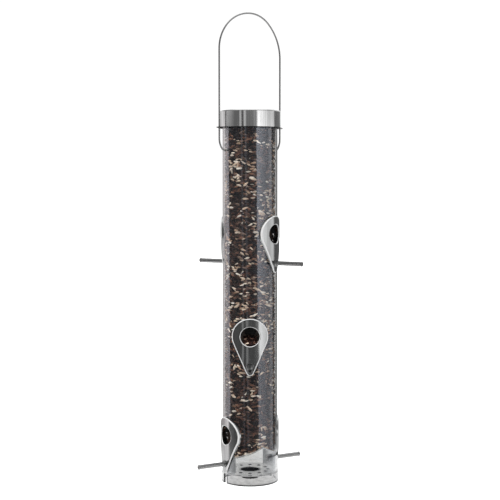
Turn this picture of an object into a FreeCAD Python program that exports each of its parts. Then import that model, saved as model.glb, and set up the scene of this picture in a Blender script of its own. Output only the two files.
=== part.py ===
import FreeCAD, Part
import math
import os

# Hanging tube bird feeder. Millimetres, +Z up.
# The origin is the centre of the base cup's bottom rim, on the tube's axis.
# Azimuth is counted from -Y (the front), positive towards +X.

V = FreeCAD.Vector
UP = V(0, 0, 1)
ORIGIN = V(0, 0, 0)

# --- seed tube ---------------------------------------------------------------
TUBE_R = 32.0              # 64 mm outside diameter
TUBE_WALL = 1.5
TUBE_BOTTOM = 13.15
TUBE_TOP = 432.0
TUBE_INNER_R = TUBE_R - TUBE_WALL

# --- base cup, a push fit over the tube's lower end --------------------------
CUP_R = 33.4
CUP_INNER_R = 32.05
CUP_TOP = 33.0
SKIRT_WALL = 2.0
FLOOR_TOP = 13.1
FLOOR_THICKNESS = 2.0
FLOOR_BOTTOM = FLOOR_TOP - FLOOR_THICKNESS
CUP_EDGE_RADIUS = 0.5
SLOT_WIDTH = 7.0
NOTCH_CLEARANCE = 0.5
DRAIN_COUNT = 12
DRAIN_RING_R = 21.2
DRAIN_HOLE_R = 1.5
SOCKET_SEAT_R = 11.3

# --- black socket in the floor -----------------------------------------------
SOCKET_R = 11.2
SOCKET_FOOT_R = 9.9
SOCKET_BOTTOM = 3.6
SOCKET_RECESS = 0.5
SOCKET_FLANGE_R = 12.6
SOCKET_FLANGE_THICKNESS = 1.0
SOCKET_THREAD_R = 8.0
SOCKET_THREAD_LENGTH = 7.4
SOCKET_BOSS_R = 5.0
SOCKET_BOSS_HEIGHT = 0.4

# --- feed ports --------------------------------------------------------------
PORT_LOW_Z = 56.8
PORT_PITCH = 117.8
PORT_TURN = 60.0           # each tier is turned this far from the one below
PORT_TIERS = 3
PLATE_R = 21.1             # round head of the teardrop
PLATE_TIP_R = 4.6
PLATE_TIP_DROP = 40.5
PLATE_OUTER_R = 34.5       # radius of the plate's face about the tube's axis
PLATE_SHEET = 1.0
PLATE_FLANGE = 1.1
PLATE_EDGE_RADIUS = 0.8
PLATE_SEAT_R = TUBE_R + 0.05
FEED_HOLE_R = 11.1
COLLAR_R = 12.3
COLLAR_EDGE_RADIUS = 0.9
COLLAR_END = 27.8          # distance of the collar's inner end from the axis

# --- port hoods --------------------------------------------------------------
HOOD_R = 13.7
HOOD_BORE_R = 12.35
HOOD_SEAT_R = TUBE_INNER_R - 0.05
HOOD_RING_END = 25.5
HOOD_DOME_Y = 22.0         # distance of the dome's centre from the axis

# --- perches -----------------------------------------------------------------
PERCH_DROP = 33.8          # below the feed hole's centre
PERCH_R = 2.5
PERCH_TIP = 69.0           # distance of the tip from the axis
PERCH_BORE_R = 1.3
PERCH_BORE_DEPTH = 28.0
PERCH_BEAD_R = 2.8
PERCH_BEAD_LENGTH = 1.5
PERCH_BEAD_EDGE_RADIUS = 0.5
PERCH_COLLAR_R = 4.0
PERCH_COLLAR_LENGTH = 1.7
PERCH_COLLAR_EDGE_RADIUS = 0.7
STUD_R = 2.45
STUD_END = 24.0
STUD_HOLE_R = 2.55
NUT_ACROSS_FLATS = 8.0
NUT_THICKNESS = 4.0
NUT_FACE = TUBE_INNER_R - 0.45       # distance of a nut's outer face from the axis
LEG_NUT_FACE = TUBE_INNER_R - 1.55   # the same where the nut bears on a leg of the deflector

# --- seed deflector ----------------------------------------------------------
SHEET = 1.0
DEFLECTOR_R = TUBE_INNER_R - 0.1
RIDGE_Z = 44.5
ROOF_SLOPE = 23.7
LEG_HALF_ANGLE = 27.0
LEG_BOTTOM = 13.4
LEG_AZIMUTH = -60.0

# --- bail and lid ------------------------------------------------------------
BAIL_AZIMUTH = 120.0
WIRE_R = 1.0
LEG_R = 40.7               # distance of each leg from the axis
HOOK_Z = 389.0
HOOK_END = 28.3
HOOK_BEND_ANGLE = 60.0     # the tight bend; a gentle one makes up the right angle
HOOK_BEND_R = 5.8
LEG_BEND_R = 20.8
HOOK_HOLE_R = WIRE_R + 0.06
APEX_Z = 547.9
ARCH_DROP_LEFT = 42.5      # the hand-bent arch runs further down on the right
ARCH_DROP_RIGHT = 51.0
ARCH_JOIN_ANGLE = 45.0     # where each side's two arcs meet

LID_R = 35.7
LID_WALL = 0.8
LID_BOTTOM = 415.0
LID_TOP = 435.3
LID_EDGE_RADIUS = 1.4
EAR_SHEET = 1.0
EAR_TIP_R = 3.3
EAR_HOLE_R = 1.6
EAR_OPENING_R = 33.6

# --- seeds -------------------------------------------------------------------
SEED_R = TUBE_INNER_R - 0.3
SEED_TOP = 415.5
SEED_CLEARANCE = 0.4
SEED_GAP = 0.05            # between the blocks that the seeds are divided into
HEAP_LOW = 11.0            # the seeds slope down to each feed hole
HEAP_END = 25.0            # distance of the slope's foot from the axis
NUT_ROOM = 5.2             # half-height kept free around each nut

FAR = 100.0                # longer than any piece is wide
NEAR = 0.1                 # tolerance when an edge is picked by its place


def outward(azimuth):
    """Unit vector away from the axis at an azimuth in degrees."""
    angle = math.radians(azimuth)
    return V(math.sin(angle), -math.cos(angle), 0)


def turned(shape, azimuth, height):
    """A shape made at the front, moved to an azimuth and a height."""
    placed = shape.copy()
    placed.rotate(ORIGIN, UP, azimuth)
    placed.translate(V(0, 0, height))
    return placed


def upright(radius, low, high):
    """Solid cylinder on the Z axis."""
    return Part.makeCylinder(radius, high - low, V(0, 0, low))


def ring(outer, inner, low, high):
    """Upright tube on the Z axis."""
    return upright(outer, low, high).cut(upright(inner, low - 1, high + 1))


def rod(radius, far, near, height=0.0):
    """Rod along the front direction, between two distances from the axis."""
    return Part.makeCylinder(radius, far - near, V(0, -far, height), V(0, 1, 0))


def ports():
    """Azimuth and height of each feed hole's centre, from the lowest tier up."""
    places = []
    for tier in range(PORT_TIERS):
        azimuth = -PORT_TURN + tier * PORT_TURN
        for side in (0.0, 180.0):
            places.append((azimuth + side, PORT_LOW_Z + tier * PORT_PITCH))
    return places


def teardrop(offset):
    """Teardrop wire in the XZ plane, offset outwards, its round head at the origin."""
    head = PLATE_R + offset
    tip = PLATE_TIP_R + offset
    lean = math.asin((head - tip) / PLATE_TIP_DROP)
    c = math.cos(lean)
    s = math.sin(lean)
    head_left = V(-head * c, 0, -head * s)
    head_right = V(head * c, 0, -head * s)
    tip_left = V(-tip * c, 0, -PLATE_TIP_DROP - tip * s)
    tip_right = V(tip * c, 0, -PLATE_TIP_DROP - tip * s)
    head_arc = Part.Arc(head_left, V(0, 0, head), head_right).toShape()
    tip_arc = Part.Arc(tip_right, V(0, 0, -PLATE_TIP_DROP - tip), tip_left).toShape()
    right = Part.LineSegment(head_right, tip_right).toShape()
    left = Part.LineSegment(tip_left, head_left).toShape()
    return Part.Wire([head_arc, right, tip_arc, left])


def teardrop_prism(offset):
    """The teardrop run along the front direction, from the axis outwards."""
    return Part.Face(teardrop(offset)).extrude(V(0, -FAR, 0))


def face_edges(plate, around_hole):
    """Edges on a plate's outer face: those round the feed hole, or those of the outline."""
    found = []
    for edge in plate.Edges:
        middle = edge.valueAt((edge.FirstParameter + edge.LastParameter) / 2)
        on_face = abs(math.hypot(middle.x, middle.y) - PLATE_OUTER_R) < NEAR
        by_hole = math.hypot(middle.x, middle.z) < COLLAR_R
        if on_face and by_hole == around_hole:
            found.append(edge)
    return found


def make_port_plate():
    """Brushed teardrop plate: curved face, edge flange and a collar through the tube."""
    low = -PLATE_TIP_DROP - FAR
    prism = teardrop_prism(0)
    face = ring(PLATE_OUTER_R, PLATE_OUTER_R - PLATE_SHEET, low, FAR).common(prism)
    band = ring(PLATE_OUTER_R, PLATE_SEAT_R, low, FAR).common(prism)
    flange = band.cut(teardrop_prism(-PLATE_FLANGE))
    collar = rod(COLLAR_R, PLATE_OUTER_R, COLLAR_END)
    collar = collar.common(upright(PLATE_OUTER_R, low, FAR))
    plate = face.fuse([flange, collar]).removeSplitter()
    plate = plate.cut(rod(FEED_HOLE_R, FAR, COLLAR_END - 1))
    plate = plate.makeFillet(PLATE_EDGE_RADIUS, face_edges(plate, False))
    plate = plate.makeFillet(COLLAR_EDGE_RADIUS, face_edges(plate, True))
    return plate.cut(rod(STUD_HOLE_R, FAR, TUBE_INNER_R, -PERCH_DROP))


def hood_envelope(radius, ring_end):
    """Solid shape of a hood: a full ring at the wall, then half a dome-ended barrel."""
    barrel = rod(radius, TUBE_R, HOOD_DOME_Y)
    dome = Part.makeSphere(radius, V(0, -HOOD_DOME_Y, 0))
    upper = Part.makeBox(FAR, FAR, FAR, V(-FAR / 2, -FAR / 2, 0))
    wall_ring = rod(radius, TUBE_R, ring_end)
    return barrel.fuse(dome).common(upper).fuse(wall_ring).removeSplitter()


def make_port_hood():
    """Black cowl that keeps the seeds back from the upper half of a feed hole."""
    shell = hood_envelope(HOOD_R, HOOD_RING_END)
    hollow = rod(HOOD_BORE_R, FAR, HOOD_DOME_Y)
    dome = Part.makeSphere(HOOD_BORE_R, V(0, -HOOD_DOME_Y, 0))
    hood = shell.cut(hollow).cut(dome)
    return hood.common(upright(HOOD_SEAT_R, -FAR, FAR))


def round_edges(shape):
    """Circular edges of a shape."""
    return [e for e in shape.Edges if e.Curve.TypeId == "Part::GeomCircle"]


def make_perch():
    """Hollow perch with a beaded tip, a root collar and a stud through the wall."""
    height = -PERCH_DROP
    bar = rod(PERCH_R, PERCH_TIP, PLATE_OUTER_R, height)
    bead = rod(PERCH_BEAD_R, PERCH_TIP, PERCH_TIP - PERCH_BEAD_LENGTH, height)
    bead = bead.makeFillet(PERCH_BEAD_EDGE_RADIUS, round_edges(bead))
    collar_face = PLATE_OUTER_R + PERCH_COLLAR_LENGTH
    collar = rod(PERCH_COLLAR_R, collar_face, PLATE_OUTER_R, height)
    outer_edges = [e for e in round_edges(collar) if e.CenterOfMass.y < NEAR - collar_face]
    collar = collar.makeFillet(PERCH_COLLAR_EDGE_RADIUS, outer_edges)
    stud = rod(STUD_R, PLATE_OUTER_R, STUD_END, height)
    perch = bar.fuse([bead, collar, stud]).removeSplitter()
    return perch.cut(rod(PERCH_BORE_R, PERCH_TIP + 1, PERCH_TIP - PERCH_BORE_DEPTH, height))


def make_nut(face):
    """Hexagon nut on a perch's stud, its outer face at a distance from the axis."""
    corner = NUT_ACROSS_FLATS / 2 / math.cos(math.radians(30))
    points = []
    for side in range(7):
        angle = math.radians(60 * side)
        points.append(V(corner * math.cos(angle), -face, corner * math.sin(angle) - PERCH_DROP))
    body = Part.Face(Part.makePolygon(points)).extrude(V(0, NUT_THICKNESS, 0))
    return body.cut(rod(STUD_HOLE_R, FAR, 0, -PERCH_DROP))


def make_feeder_tube():
    """Clear tube with its port holes, stud holes and hook holes."""
    tube = ring(TUBE_R, TUBE_INNER_R, TUBE_BOTTOM, TUBE_TOP)
    holes = []
    for azimuth, height in ports():
        holes.append(turned(rod(COLLAR_R + 0.1, FAR, HOOD_DOME_Y), azimuth, height))
        holes.append(turned(rod(STUD_HOLE_R, FAR, HOOD_DOME_Y, -PERCH_DROP), azimuth, height))
    for side in (0.0, 180.0):
        holes.append(turned(rod(HOOK_HOLE_R, FAR, HOOD_DOME_Y), BAIL_AZIMUTH + side, HOOK_Z))
    return tube.cut(holes)


def make_base_cup():
    """Clear cup: floor, skirt, and a notch that clears each of the two lowest plates."""
    cup = upright(CUP_R, 0, CUP_TOP)
    cup = cup.makeFillet(CUP_EDGE_RADIUS, round_edges(cup))
    cup = cup.cut(upright(CUP_INNER_R, FLOOR_TOP, CUP_TOP + 1))
    cup = cup.cut(upright(CUP_R - SKIRT_WALL, -1, FLOOR_BOTTOM))
    cup = cup.cut(upright(SOCKET_SEAT_R, -1, CUP_TOP))
    for hole in range(DRAIN_COUNT):
        centre = outward(hole * 360.0 / DRAIN_COUNT) * DRAIN_RING_R
        cup = cup.cut(Part.makeCylinder(DRAIN_HOLE_R, CUP_TOP, centre))
    core = upright(CUP_R - SKIRT_WALL, -1, CUP_TOP + 1)
    slot = Part.makeBox(SLOT_WIDTH, FAR, CUP_TOP + 2, V(-SLOT_WIDTH / 2, -FAR, -1))
    notch = teardrop_prism(NOTCH_CLEARANCE)
    notch.translate(V(0, 0, PORT_LOW_Z))
    cutter = slot.fuse(notch).cut(core)
    for azimuth, height in ports()[:2]:
        cup = cup.cut(turned(cutter, azimuth, 0))
    return cup


def make_base_socket():
    """Black socket in the floor: closed above, with a threaded hole from below."""
    top = FLOOR_TOP - SOCKET_RECESS
    neck = upright(SOCKET_R, FLOOR_BOTTOM, top)
    foot = Part.makeCone(SOCKET_FOOT_R, SOCKET_R, FLOOR_BOTTOM - SOCKET_BOTTOM, V(0, 0, SOCKET_BOTTOM))
    flange = upright(SOCKET_FLANGE_R, FLOOR_BOTTOM - SOCKET_FLANGE_THICKNESS, FLOOR_BOTTOM)
    boss = upright(SOCKET_BOSS_R, top, top + SOCKET_BOSS_HEIGHT)
    socket = neck.fuse([foot, flange, boss]).removeSplitter()
    return socket.cut(upright(SOCKET_THREAD_R, SOCKET_BOTTOM - 1, SOCKET_BOTTOM + SOCKET_THREAD_LENGTH))


def make_seed_deflector():
    """Folded sheet: a roof that falls to both sides, on two curved legs."""
    fall = math.tan(math.radians(ROOF_SLOPE))
    drop = SHEET / math.cos(math.radians(ROOF_SLOPE))
    edge = FAR / 2
    profile = [
        V(0, -edge, RIDGE_Z - edge * fall),
        V(0, 0, RIDGE_Z),
        V(0, edge, RIDGE_Z - edge * fall),
        V(0, edge, RIDGE_Z - edge * fall - drop),
        V(0, 0, RIDGE_Z - drop),
        V(0, -edge, RIDGE_Z - edge * fall - drop),
    ]
    section = Part.Face(Part.makePolygon(profile + profile[:1]))
    section.translate(V(-edge, 0, 0))
    roof = section.extrude(V(FAR, 0, 0)).common(upright(DEFLECTOR_R, LEG_BOTTOM, RIDGE_Z))
    sky = profile[:3] + [V(0, edge, FAR), V(0, -edge, FAR)]
    above = Part.Face(Part.makePolygon(sky + sky[:1]))
    above.translate(V(-edge, 0, 0))
    above = above.extrude(V(FAR, 0, 0))
    wall = ring(DEFLECTOR_R, DEFLECTOR_R - SHEET, LEG_BOTTOM, RIDGE_Z).cut(above)
    reach = 2 * DEFLECTOR_R * math.tan(math.radians(LEG_HALF_ANGLE))
    corners = [ORIGIN, V(reach, -2 * DEFLECTOR_R, 0), V(-reach, -2 * DEFLECTOR_R, 0)]
    wedge = Part.Face(Part.makePolygon(corners + corners[:1])).extrude(V(0, 0, FAR))
    legs = [wall.common(wedge), wall.common(turned(wedge, 180, 0))]
    sheet = roof.fuse(legs).removeSplitter()
    stud_height = PORT_LOW_Z - PERCH_DROP
    for side in (0.0, 180.0):
        sheet = sheet.cut(turned(rod(STUD_HOLE_R, FAR, HOOD_DOME_Y, stud_height), side, 0))
    return turned(sheet, LEG_AZIMUTH, 0)


def in_bail_plane(across, height):
    """Point in the bail's plane; across is positive towards the right-hand leg."""
    point = outward(BAIL_AZIMUTH) * across
    return V(point.x, point.y, height)


def arc_run(centre, radius, start, end):
    """Arc in the bail's plane about (across, height), angles in degrees."""
    points = []
    for angle in (start, (start + end) / 2, end):
        turn = math.radians(angle)
        across = centre[0] + radius * math.cos(turn)
        points.append(in_bail_plane(across, centre[1] + radius * math.sin(turn)))
    return Part.Arc(*points).toShape()


def arch_side(side, drop):
    """Two tangent arcs from the top of one leg to the apex; side is -1 left or 1 right."""
    join = ARCH_JOIN_ANGLE
    s = math.sin(math.radians(join))
    lower = (s * drop - (1 - s) * LEG_R) / (2 * s - 1)
    upper = (s * LEG_R - (1 - s) * drop) / (2 * s - 1)
    low_centre = (side * (LEG_R - lower), APEX_Z - drop)
    high_centre = (0, APEX_Z - upper)
    if side < 0:
        return [arc_run(low_centre, lower, 180, 180 - join), arc_run(high_centre, upper, 180 - join, 90)]
    return [arc_run(high_centre, upper, 90, join), arc_run(low_centre, lower, join, 0)]


def hook_side(side, leg_top):
    """Hook end, two bends and the straight leg of one side, from the hook upwards."""
    bend = HOOK_BEND_ANGLE
    c = math.cos(math.radians(bend))
    s = math.sin(math.radians(bend))
    bend_across = side * (LEG_R - LEG_BEND_R * (1 - s) - HOOK_BEND_R * s)
    tight_centre = (bend_across, HOOK_Z + HOOK_BEND_R)
    long_centre_across = side * (LEG_R - LEG_BEND_R)
    drop = HOOK_BEND_R * (1 - c)
    rise = LEG_BEND_R * c
    leg_bottom = HOOK_Z + drop + rise
    start = in_bail_plane(side * HOOK_END, HOOK_Z)
    bend_start = in_bail_plane(bend_across, HOOK_Z)
    pieces = [Part.LineSegment(start, bend_start).toShape()]
    if side > 0:
        pieces.append(arc_run(tight_centre, HOOK_BEND_R, -90, bend - 90))
        pieces.append(arc_run((long_centre_across, leg_bottom), LEG_BEND_R, bend - 90, 0))
    else:
        pieces.append(arc_run(tight_centre, HOOK_BEND_R, -90, -90 - bend))
        pieces.append(arc_run((long_centre_across, leg_bottom), LEG_BEND_R, -90 - bend, -180))
    low = in_bail_plane(side * LEG_R, leg_bottom)
    high = in_bail_plane(side * LEG_R, leg_top)
    pieces.append(Part.LineSegment(low, high).toShape())
    return pieces


def make_bail_wire():
    """One bent wire: hook, leg, arch, leg, hook."""
    route = hook_side(-1, APEX_Z - ARCH_DROP_LEFT)
    route += arch_side(-1, ARCH_DROP_LEFT)
    route += arch_side(1, ARCH_DROP_RIGHT)
    route += reversed(hook_side(1, APEX_Z - ARCH_DROP_RIGHT))
    path = Part.Wire(Part.__sortEdges__(list(route)))
    start = in_bail_plane(-HOOK_END, HOOK_Z)
    profile = Part.Wire(Part.makeCircle(WIRE_R, start, outward(BAIL_AZIMUTH)))
    return path.makePipeShell([profile], True, False)


def make_lid_shell():
    """Drawn lid, open below, resting on the ear plate."""
    low = LID_BOTTOM + EAR_SHEET
    shell = upright(LID_R, low, LID_TOP)
    top_edge = [e for e in shell.Edges if e.CenterOfMass.z > LID_TOP - NEAR]
    shell = shell.makeFillet(LID_EDGE_RADIUS, top_edge)
    hollow = upright(LID_R - LID_WALL, low - 1, LID_TOP - LID_WALL)
    top_edge = [e for e in hollow.Edges if e.CenterOfMass.z > LID_TOP - LID_WALL - NEAR]
    return shell.cut(hollow.makeFillet(LID_EDGE_RADIUS - LID_WALL, top_edge))


def make_lid_ear_plate():
    """Flat plate with an ear at each end, each ear drilled for a leg of the bail."""
    low = LID_BOTTOM
    high = LID_BOTTOM + EAR_SHEET
    lean = math.asin((LID_R - EAR_TIP_R) / LEG_R)
    c = math.cos(lean)
    s = math.sin(lean)
    plate = upright(LID_R, low, high)
    for side in (-1, 1):
        corners = [
            V(side * LID_R * s, -LID_R * c, low),
            V(side * (LEG_R + EAR_TIP_R * s), -EAR_TIP_R * c, low),
            V(side * (LEG_R + EAR_TIP_R * s), EAR_TIP_R * c, low),
            V(side * LID_R * s, LID_R * c, low),
        ]
        wing = Part.Face(Part.makePolygon(corners + corners[:1])).extrude(V(0, 0, EAR_SHEET))
        tip = Part.makeCylinder(EAR_TIP_R, EAR_SHEET, V(side * LEG_R, 0, low))
        plate = plate.fuse([wing, tip])
    plate = plate.removeSplitter().cut(upright(EAR_OPENING_R, low - 1, high + 1))
    for side in (-1, 1):
        plate = plate.cut(Part.makeCylinder(EAR_HOLE_R, FAR, V(side * LEG_R, 0, low - 1)))
    return turned(plate, BAIL_AZIMUTH - 90, 0)


def extruded(outline, half_width):
    """Block with an outline of (distance outwards, height) points, centred across the front."""
    points = [V(-half_width, -out, height) for out, height in outline]
    return Part.Face(Part.makePolygon(points + points[:1])).extrude(V(2 * half_width, 0, 0))


def seed_disc(low, high, flat_at=SEED_R):
    """Level layer of seeds, cut flat at the front and the back where flat_at is less than SEED_R."""
    body = upright(SEED_R, low, high)
    if flat_at < SEED_R:
        body = body.common(Part.makeBox(FAR, 2 * flat_at, high - low, V(-FAR / 2, -flat_at, low)))
    return body


def seed_tier(height, over_roof):
    """Blocks of seed at one tier, clear of its two hoods; over_roof where the deflector is below."""
    inner = HOOD_DOME_Y - HOOD_R - SEED_CLEARANCE
    half = HOOD_R + SEED_CLEARANCE
    low = height - half
    high = height + half
    fall = 0.0
    if over_roof:
        low = RIDGE_Z + SEED_CLEARANCE
        fall = math.tan(math.radians(ROOF_SLOPE))
    slope = HEAP_LOW / (TUBE_R - inner)
    heap_high = height - SEED_CLEARANCE
    foot = inner + SEED_GAP
    heap = extruded([
        (foot, low - foot * fall),
        (HEAP_END, low - HEAP_END * fall),
        (HEAP_END, heap_high - (HEAP_END - inner) * slope),
        (foot, heap_high),
    ], half - SEED_GAP)
    core = extruded([(SEED_GAP, low), (inner, low - inner * fall), (inner, high), (SEED_GAP, high)], half)
    side = extruded([(SEED_GAP, low), (FAR, low - FAR * fall), (FAR, high), (SEED_GAP, high)], FAR)
    side = side.common(upright(SEED_R, 0, SEED_TOP))
    margin = Part.makeBox(FAR, FAR, FAR, V(half + SEED_GAP, -FAR, height - FAR / 2))
    right = side.common(margin)
    left = side.common(margin.mirror(ORIGIN, V(1, 0, 0)))
    blocks = []
    for block in (heap, core, right, left):
        blocks += [block, turned(block, 180, 0)]
    return blocks


def make_seed_fill():
    """The seeds as convex blocks, clear of every piece inside the tube."""
    half = HOOD_R + SEED_CLEARANCE
    blocks = []
    low = PORT_LOW_Z + half + SEED_GAP
    tiers = ports()[::2]
    azimuth, height = tiers[0]
    blocks += [turned(block, azimuth, 0) for block in seed_tier(height, True)]
    for azimuth, height in tiers[1:]:
        nut = height - PERCH_DROP
        high = height - half - SEED_GAP
        layer = seed_disc(nut - NUT_ROOM, nut + NUT_ROOM, STUD_END - SEED_CLEARANCE)
        blocks.append(seed_disc(low, nut - NUT_ROOM - SEED_GAP))
        blocks.append(turned(layer, azimuth, 0))
        blocks.append(seed_disc(nut + NUT_ROOM + SEED_GAP, high))
        blocks += [turned(block, azimuth, 0) for block in seed_tier(height, False)]
        low = height + half + SEED_GAP
    hook_room = WIRE_R + SEED_CLEARANCE
    layer = seed_disc(HOOK_Z - hook_room, HOOK_Z + hook_room, HOOK_END - SEED_CLEARANCE)
    blocks.append(seed_disc(low, HOOK_Z - hook_room - SEED_GAP))
    blocks.append(turned(layer, BAIL_AZIMUTH, 0))
    blocks.append(seed_disc(HOOK_Z + hook_room + SEED_GAP, SEED_TOP))
    return Part.makeCompound(blocks)


def all_nodes():
    """Every node's name and shape."""
    nodes = {
        "feeder_tube": make_feeder_tube(),
        "base_cup": make_base_cup(),
        "base_socket": make_base_socket(),
        "seed_deflector": make_seed_deflector(),
        "lid_shell": make_lid_shell(),
        "lid_ear_plate": make_lid_ear_plate(),
        "bail_wire": make_bail_wire(),
        "seed_fill": make_seed_fill(),
    }
    plate = make_port_plate()
    hood = make_port_hood()
    perch = make_perch()
    nuts = []
    for number, (azimuth, height) in enumerate(ports(), 1):
        nodes["port_plate_%d" % number] = turned(plate, azimuth, height)
        nodes["port_hood_%d" % number] = turned(hood, azimuth, height)
        nodes["perch_%d" % number] = turned(perch, azimuth, height)
        face = LEG_NUT_FACE if height == PORT_LOW_Z else NUT_FACE
        nuts.append(turned(make_nut(face), azimuth, height))
    nodes["perch_nuts"] = Part.makeCompound(nuts)
    return nodes


os.makedirs("parts", exist_ok=True)
for name, shape in all_nodes().items():
    shape.exportStep("parts/" + name + ".step")
    solids = len(shape.Solids)
    print("%-16s solids %d valid %s volume %.0f" % (name, solids, shape.isValid(), shape.Volume))
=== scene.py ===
import math
import random

import bpy
import numpy as np
from mathutils import Matrix, Vector, noise


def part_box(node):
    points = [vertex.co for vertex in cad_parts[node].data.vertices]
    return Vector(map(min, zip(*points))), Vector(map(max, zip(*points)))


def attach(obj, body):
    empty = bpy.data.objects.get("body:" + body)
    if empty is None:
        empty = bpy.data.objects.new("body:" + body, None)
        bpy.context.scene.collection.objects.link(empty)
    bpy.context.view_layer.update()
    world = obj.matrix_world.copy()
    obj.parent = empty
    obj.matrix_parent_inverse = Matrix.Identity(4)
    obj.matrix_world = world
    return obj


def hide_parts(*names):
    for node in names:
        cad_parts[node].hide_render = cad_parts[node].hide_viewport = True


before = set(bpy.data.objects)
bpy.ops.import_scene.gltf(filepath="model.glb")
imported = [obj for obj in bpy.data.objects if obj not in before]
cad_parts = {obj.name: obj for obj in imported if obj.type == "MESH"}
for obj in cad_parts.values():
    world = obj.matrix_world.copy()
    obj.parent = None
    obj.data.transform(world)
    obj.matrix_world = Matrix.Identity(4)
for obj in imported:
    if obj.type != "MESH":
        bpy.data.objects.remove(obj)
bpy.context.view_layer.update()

# Hanging tube feeder. Metres, +Z up, in the frame of the CAD model.
# Azimuth is counted from -Y (the front), positive towards +X.

# --- camera ------------------------------------------------------------------
CAMERA_DISTANCE = 1.3757
CAMERA_HEIGHT = 0.3532
CAMERA_PITCH = 3.342       # degrees below level
CAMERA_LENS = 84.55
SENSOR_WIDTH = 36.0

# --- the model's own sizes ---------------------------------------------------
TUBE_WALL = 0.0015
TUBE_INNER_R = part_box("feeder_tube")[1].x - TUBE_WALL
PLATE_HEAD_R = 0.0211      # round head of a port plate, about its feed hole
HOOD_R = 0.0137
PERCH_DROP = 0.0338        # from a feed hole's centre down to its perch
PORT_TIERS = 3
PORT_TURN = 60.0
HOOK_AZIMUTH = 120.0
HOOK_Z = 0.389
ROOF_AZIMUTH = -60.0       # the deflector's roof falls towards this azimuth and its opposite
ROOF_SLOPE = 23.7
ROOF_SHEET = 0.0001        # from the height that roof_height gives up to the sheet's upper face
ROOF_RIDGE_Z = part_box("seed_deflector")[1].z
SEED_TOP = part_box("seed_fill")[1].z

MM = 0.001


def outward(azimuth):
    """Unit vector away from the axis at an azimuth in degrees."""
    angle = math.radians(azimuth)
    return Vector((math.sin(angle), -math.cos(angle), 0))


def along_wall(azimuth):
    """Unit vector round the tube at an azimuth, level and at right angles to outward."""
    out = outward(azimuth)
    return Vector((-out.y, out.x, 0))


def turn_from(azimuth, other):
    """Angle in radians from another azimuth to this one, the short way round."""
    return math.radians((azimuth - other + 180.0) % 360.0 - 180.0)


def ports():
    """Azimuth and height of each feed hole's centre, read from its plate's place."""
    places = []
    for number in range(1, 2 * PORT_TIERS + 1):
        tier = (number - 1) // 2
        azimuth = PORT_TURN * (tier - 1) + 180.0 * ((number - 1) % 2)
        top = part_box("port_plate_%d" % number)[1].z
        places.append((azimuth, top - PLATE_HEAD_R))
    return places


PORTS = ports()
PORT_PITCH = PORTS[2][1] - PORTS[0][1]     # from one tier up to the next


# --- node helpers ------------------------------------------------------------
NOISE_SPAN = (0.3, 0.7)


class Nodes:
    """A short way to add nodes to a tree and to link them."""

    def __init__(self, tree):
        self.tree = tree
        tree.nodes.clear()

    def add(self, kind, inputs=None, **settings):
        node = self.tree.nodes.new(kind)
        for name, value in settings.items():
            setattr(node, name, value)
        for name, value in (inputs or {}).items():
            self.feed(node.inputs[name], value)
        return node

    def feed(self, socket, value):
        if isinstance(value, bpy.types.NodeSocket):
            self.tree.links.new(value, socket)
        else:
            socket.default_value = value

    def math(self, operation, first, second=0.0, third=0.0):
        return self.add("ShaderNodeMath", {0: first, 1: second, 2: third}, operation=operation).outputs[0]

    def noise(self, place, scale, detail=2.0, roughness=0.5):
        """Noise with a scale of its own along each axis."""
        scaled = self.add("ShaderNodeMapping", {"Vector": place, "Scale": scale}).outputs["Vector"]
        inputs = {"Vector": scaled, "Scale": 1.0, "Detail": detail, "Roughness": roughness}
        return self.add("ShaderNodeTexNoise", inputs).outputs["Fac"]

    def range(self, value, low, high, to_low, to_high):
        inputs = {"Value": value, 1: low, 2: high, 3: to_low, 4: to_high}
        return self.add("ShaderNodeMapRange", inputs).outputs[0]

    def spread(self, noise_value, low, high):
        """From low to high over the middle span that a noise mostly keeps to."""
        return self.range(noise_value, *NOISE_SPAN, low, high)

    def share(self, value, low, high):
        """0 at low and 1 at high."""
        return self.range(value, low, high, 0.0, 1.0)

    def grey(self, level):
        return self.add("ShaderNodeCombineXYZ", {0: level, 1: level, 2: level}).outputs[0]

    def ramp(self, value, stops):
        node = self.add("ShaderNodeValToRGB", {"Fac": value})
        ends = node.color_ramp.elements
        while len(ends) < len(stops):
            ends.new(1.0)
        for element, (place, colour) in zip(ends, stops):
            element.position = place
            element.color = (*colour, 1.0)
        return node.outputs["Color"]

    def mix(self, factor, first, second, blend="MIX"):
        node = self.add("ShaderNodeMix", data_type="RGBA", blend_type=blend)
        self.feed(node.inputs[0], factor)
        self.feed(node.inputs[6], first)
        self.feed(node.inputs[7], second)
        return node.outputs[2]

    def bump(self, height, distance, strength=1.0):
        inputs = {"Height": height, "Distance": distance, "Strength": strength}
        return self.add("ShaderNodeBump", inputs).outputs["Normal"]


def new_material(name):
    """An empty node material and its tree's helper."""
    material = bpy.data.materials.new(name)
    material.use_nodes = True
    return material, Nodes(material.node_tree)


def finish_material(nodes, shader):
    nodes.add("ShaderNodeOutputMaterial", {"Surface": shader})


def grey(level):
    return (level, level, level)


def length_of(n, across, along):
    """Length of a flat vector, by its two parts."""
    return n.math("SQRT", n.math("ADD", n.math("MULTIPLY", across, across), n.math("MULTIPLY", along, along)))


def from_axis(n, axes):
    """Distance of a shading point from the tube's axis."""
    return length_of(n, axes[0], axes[1])


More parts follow.
